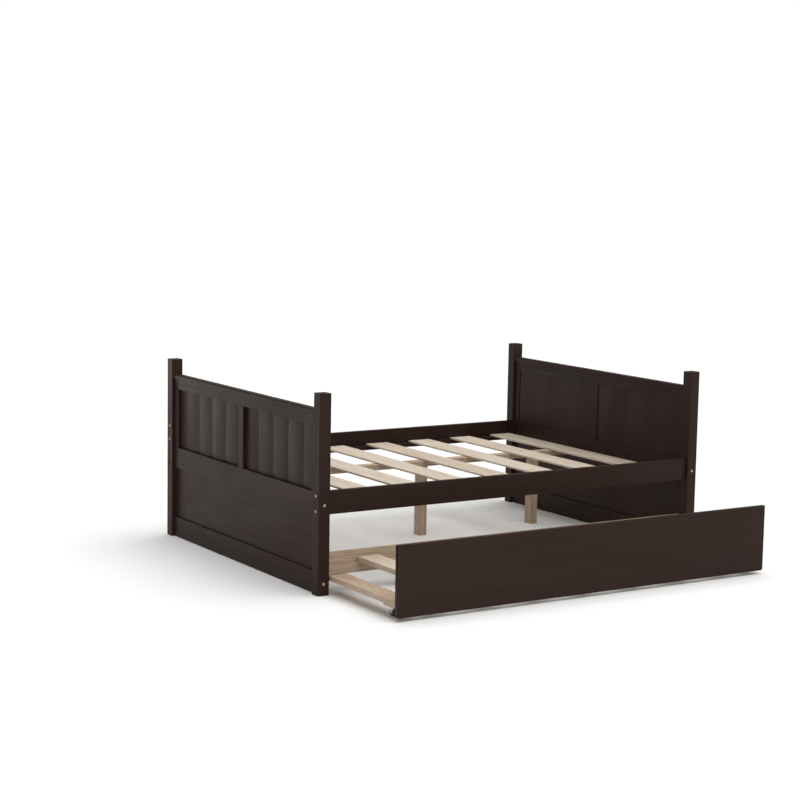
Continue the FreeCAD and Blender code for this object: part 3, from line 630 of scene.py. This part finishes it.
top_radius = add_node(plug_tree, "ShaderNodeMath", {"operation": "SUBTRACT"}, i0=plug_in.outputs["Radius"],
                      i1=plug_in.outputs["Edge"])
edge = add_node(plug_tree, "GeometryNodeMeshCone", {"fill_type": "NGON"}, Vertices=PLUG_SIDES,
                Radius_Top=top_radius.outputs[0], Radius_Bottom=plug_in.outputs["Radius"],
                Depth=plug_in.outputs["Edge"])
edge_drop = add_node(plug_tree, "ShaderNodeMath", {"operation": "MULTIPLY"}, i0=plug_in.outputs["Edge"],
                     i1=-1.0)
edge_place = add_node(plug_tree, "ShaderNodeCombineXYZ", Z=edge_drop.outputs[0])
edge_low = add_node(plug_tree, "GeometryNodeTransform", Geometry=edge.outputs[0],
                    Translation=edge_place.outputs[0])
whole = add_node(plug_tree, "GeometryNodeJoinGeometry")
for part in (shank_low, edge_low):
    plug_tree.links.new(part.outputs[0], whole.inputs[0])
finish_tree(plug_tree, plug_out, set_on_points(plug_tree, plug_in, whole.outputs[0]), plug_wood)
# a plug fills a bore of 12 mm, and its rim is cut back by 0.35 mm
mesh = run_tree(plug_tree, "wooden_plugs", {"Radius": 5.98 * MM, "Length": 6 * MM, "Edge": 0.35 * MM},
                fastener_points("plug_places", "wood_plugs"))
add_piece("wooden_plugs", mesh, "bed_frame", "natural_pine", "wood_plugs")
print("plugs:", len(mesh.polygons), "faces")

# %% Cross-head screws
HEAD_SIDES, SHANK_SIDES = 20, 10
CROSS_LENGTH, CROSS_WIDTH, CROSS_DEPTH = 4.6 * MM, 0.9 * MM, 2.4 * MM
screw_tree, screw_in, screw_out = new_tree("cross_head_screws", ["Head Radius", "Head Height",
                                                                 "Shank Radius", "Shank Length"])
head = add_node(screw_tree, "GeometryNodeMeshCone", {"fill_type": "NGON"}, Vertices=HEAD_SIDES,
                Radius_Top=screw_in.outputs["Shank Radius"], Radius_Bottom=screw_in.outputs["Head Radius"],
                Depth=screw_in.outputs["Head Height"])
turned_head = add_node(screw_tree, "GeometryNodeTransform", Geometry=head.outputs[0],
                       Rotation=(math.pi, 0.0, 0.0))
cross = add_node(screw_tree, "GeometryNodeJoinGeometry")
for size in ((CROSS_LENGTH, CROSS_WIDTH, CROSS_DEPTH), (CROSS_WIDTH, CROSS_LENGTH, CROSS_DEPTH)):
    bar = add_node(screw_tree, "GeometryNodeMeshCube", Size=size)
    screw_tree.links.new(bar.outputs[0], cross.inputs[0])
recessed = add_node(screw_tree, "GeometryNodeMeshBoolean", {"operation": "DIFFERENCE"})
screw_tree.links.new(turned_head.outputs[0], recessed.inputs[0])
screw_tree.links.new(cross.outputs[0], recessed.inputs[1])
shank = add_node(screw_tree, "GeometryNodeMeshCylinder", {"fill_type": "NGON"}, Vertices=SHANK_SIDES,
                 Radius=screw_in.outputs["Shank Radius"], Depth=screw_in.outputs["Shank Length"])
head_drop = add_node(screw_tree, "ShaderNodeMath", {"operation": "MULTIPLY"},
                     i0=screw_in.outputs["Head Height"], i1=-1.0)
drop = add_node(screw_tree, "ShaderNodeMath", {"operation": "MULTIPLY_ADD"},
                i0=screw_in.outputs["Shank Length"], i1=-0.5, i2=head_drop.outputs[0])
shank_place = add_node(screw_tree, "ShaderNodeCombineXYZ", Z=drop.outputs[0])
shank_low = add_node(screw_tree, "GeometryNodeTransform", Geometry=shank.outputs[0],
                     Translation=shank_place.outputs[0])
whole = add_node(screw_tree, "GeometryNodeJoinGeometry")
for part in (recessed, shank_low):
    screw_tree.links.new(part.outputs[0], whole.inputs[0])
finish_tree(screw_tree, screw_out, set_on_points(screw_tree, screw_in, whole.outputs[0]), zinc_plate)
# only the first 10 mm of each shank are drawn, as the wood hides the rest
for node, body in (("bed_screws", "bed_frame"), ("trundle_screws", "trundle")):
    mesh = run_tree(screw_tree, node + "_cross_head", {
        "Head Radius": 4 * MM, "Head Height": 2.6 * MM, "Shank Radius": 1.9 * MM,
        "Shank Length": 10 * MM}, fastener_points(node + "_places", node))
    add_piece(mesh.name, mesh, body, "zinc_steel", node)
    print(node, len(mesh.polygons), "faces")

# %% [markdown]
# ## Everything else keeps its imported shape
# The posts, rails, stiles, boards, casters and wheels already have their true shape, with rounded
# edges. Each gets a smooth copy and the finish of its own wood or metal, with the grain along its
# longest side, as it would be cut.

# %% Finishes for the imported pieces
finish_of_slot = {"zinc_steel": zinc_plate, "black_oxide_steel": black_oxide, "black_nylon": black_nylon}
grain_of_group = {"centre_legs": "Z", "caster_blocks": "Y", "joint_dowels": "Y"}
for node in sorted(nodes):
    if nodes[node].hide_render:
        continue
    low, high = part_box(node)
    size = high - low
    grain = grain_of_group.get(node, "XYZ"[max(range(3), key=lambda i: size[i])])
    slot = slot_of_node[node]
    wood = espresso[grain] if slot == "espresso_painted_wood" else beam_pine[grain]
    piece = smooth_piece(node, finish_of_slot.get(slot, wood))
    print(piece.name, piece.data.materials[0].name, len(piece.data.polygons))

# %% [markdown]
# ## The studio
# A pale floor and a white room, with one wide soft light overhead. The camera sees white all round,
# while the light that reaches the bed is brighter from the front right than from the back left, which
# keeps the dark lacquer dark. A small box low behind the left end rakes along it, so each crowned board
# goes from light to dark. The overhead light is a sun with a wide angle, because it lights a large floor
# evenly, up to the horizon.

# %% Floor and room
FLOOR_REACH = 30.0     # metres each way, so that the floor meets the white room far off
FLOOR_DROP = 0.5 * MM  # a hair under the feet, so that no two faces lie in one plane
floor_corners = [(x * FLOOR_REACH, y * FLOOR_REACH, 0.0) for x, y in ((-1, -1), (1, -1), (1, 1), (-1, 1))]
floor_mesh = bpy.data.meshes.new("floor")
floor_mesh.from_pydata(floor_corners, [], [(0, 1, 2, 3)])
floor = bpy.data.objects.new("floor", floor_mesh)
bpy.context.scene.collection.objects.link(floor)
floor.location.z = -FLOOR_DROP
paint, tree, shader = new_material("pale_floor_paint")
shader.inputs["Base Color"].default_value = linear("#f4f4f3")
shader.inputs["Roughness"].default_value = 0.9
shader.inputs["Specular IOR Level"].default_value = 0.2
floor.data.materials.append(paint)

BRIGHT_WAY = (0.5, -0.85, 0.0)     # the front right
DIM_SIDE, BRIGHT_SIDE = 0.25, 0.7
world = bpy.data.worlds.new("white_room")
bpy.context.scene.world = world
world.use_nodes = True
tree = world.node_tree
tree.nodes.clear()
direction = add_node(tree, "ShaderNodeTexCoord").outputs["Generated"]
facing = add_node(tree, "ShaderNodeVectorMath", {"operation": "DOT_PRODUCT"}, i0=direction,
                  i1=BRIGHT_WAY)
room = add_node(tree, "ShaderNodeMapRange", Value=facing.outputs["Value"], From_Min=-1.0,
                From_Max=1.0, To_Min=DIM_SIDE, To_Max=BRIGHT_SIDE)
light_path = add_node(tree, "ShaderNodeLightPath")
strength = add_node(tree, "ShaderNodeMix", {"data_type": "FLOAT"}, i0=light_path.outputs["Is Camera Ray"],
                    i2=room.outputs["Result"], i3=1.0)
backdrop = add_node(tree, "ShaderNodeBackground", Color=(1.0, 1.0, 1.0, 1.0), Strength=strength.outputs[0])
add_node(tree, "ShaderNodeOutputWorld", Surface=backdrop.outputs[0])
print("floor", 2 * FLOOR_REACH, "m across; world nodes:", len(tree.nodes))

# %% Lights
SHEET_WIDTH, SHEET_STRENGTH = math.radians(70), 2.3
SHEET_TILT = (math.radians(6), math.radians(8), 0.0)


def soft_light(name, place, target, size, watts):
    """A square area light at place that faces target."""
    data = bpy.data.lights.new(name, "AREA")
    data.shape = "SQUARE"
    data.size = size
    data.energy = watts
    lamp = bpy.data.objects.new(name, data)
    bpy.context.scene.collection.objects.link(lamp)
    lamp.location = place
    lamp.rotation_euler = (Vector(target) - Vector(place)).to_track_quat("-Z", "Y").to_euler()
    lamp.visible_camera = False
    return lamp


sun = bpy.data.lights.new("overhead_sheet", "SUN")
sun.angle = SHEET_WIDTH
sun.energy = SHEET_STRENGTH
overhead = bpy.data.objects.new("overhead_sheet", sun)
bpy.context.scene.collection.objects.link(overhead)
overhead.rotation_euler = SHEET_TILT
soft_light("rear_left_box", place=(-2.2, 4.2, 0.6), target=(-1.0, 0.3, 0.5), size=1.0, watts=10)
bpy.context.scene.view_settings.view_transform = "Standard"

# %% [markdown]
# ## The camera
# It stands to the left of the open trundle, a little above the bed, and looks slightly down. A long
# lens from eight metres keeps the lines of the furniture calm.

# %% Camera
view_heading, view_down, view_roll = math.radians(32.15), math.radians(7.34), math.radians(1.04)
view_place = (-4.7733, -7.0609, 1.8002)
FOCAL_LENGTH, SENSOR_WIDTH = 84.76, 36.0     # millimetres
lens = bpy.data.cameras.new("camera")
lens.sensor_width = SENSOR_WIDTH
lens.lens = FOCAL_LENGTH
camera = bpy.data.objects.new("camera", lens)
bpy.context.scene.collection.objects.link(camera)
turn = (Matrix.Rotation(-view_heading, 3, "Z") @ Matrix.Rotation(math.pi / 2 - view_down, 3, "X")
        @ Matrix.Rotation(view_roll, 3, "Z"))
camera.location = view_place
camera.rotation_euler = turn.to_euler()
bpy.context.scene.camera = camera
print("camera at", [round(c, 3) for c in camera.location])
